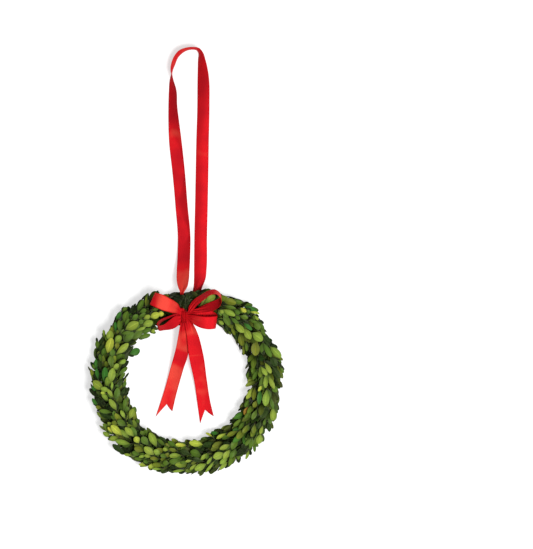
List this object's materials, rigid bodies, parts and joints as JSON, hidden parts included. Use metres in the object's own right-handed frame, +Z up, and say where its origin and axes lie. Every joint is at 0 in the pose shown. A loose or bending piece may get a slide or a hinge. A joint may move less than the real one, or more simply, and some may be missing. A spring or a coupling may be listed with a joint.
{
  "type": "boxwood wreath",
  "caption": "Ring of boxwood sprigs bound to a wire frame, with a red ribbon bow and a ribbon loop to hang it by.",
  "frame": {"origin": "middle of the underside of the whole thing, wreath, bow and loop together, on the surface that it lies on", "axes": "+Z up out of the wreath's face, +Y along the hanging loop away from the wreath"},
  "size_m": [0.2382, 0.5358, 0.0521],
  "materials": {
    "boxwood": "fresh green boxwood leaves with a soft wax sheen, on slim woody twigs",
    "ribbon": "red satin ribbon",
    "frame_wire": "dull dark steel wire",
    "binding_wire": "green lacquered florist wire"
  },
  "bodies": {
    "root": {"bunch_01": "boxwood", "bunch_02": "boxwood", "bunch_03": "boxwood", "bunch_04": "boxwood", "bunch_05": "boxwood", "bunch_06": "boxwood", "bunch_07": "boxwood", "bunch_08": "boxwood", "bunch_09": "boxwood", "bunch_10": "boxwood", "bunch_11": "boxwood", "bunch_12": "boxwood", "bunch_13": "boxwood", "bunch_14": "boxwood", "hanger_ribbon": "ribbon", "bow": "ribbon", "bow_knot": "ribbon", "ring_frame": "frame_wire", "binding_wire": "binding_wire"}
  },
  "joints": []
}
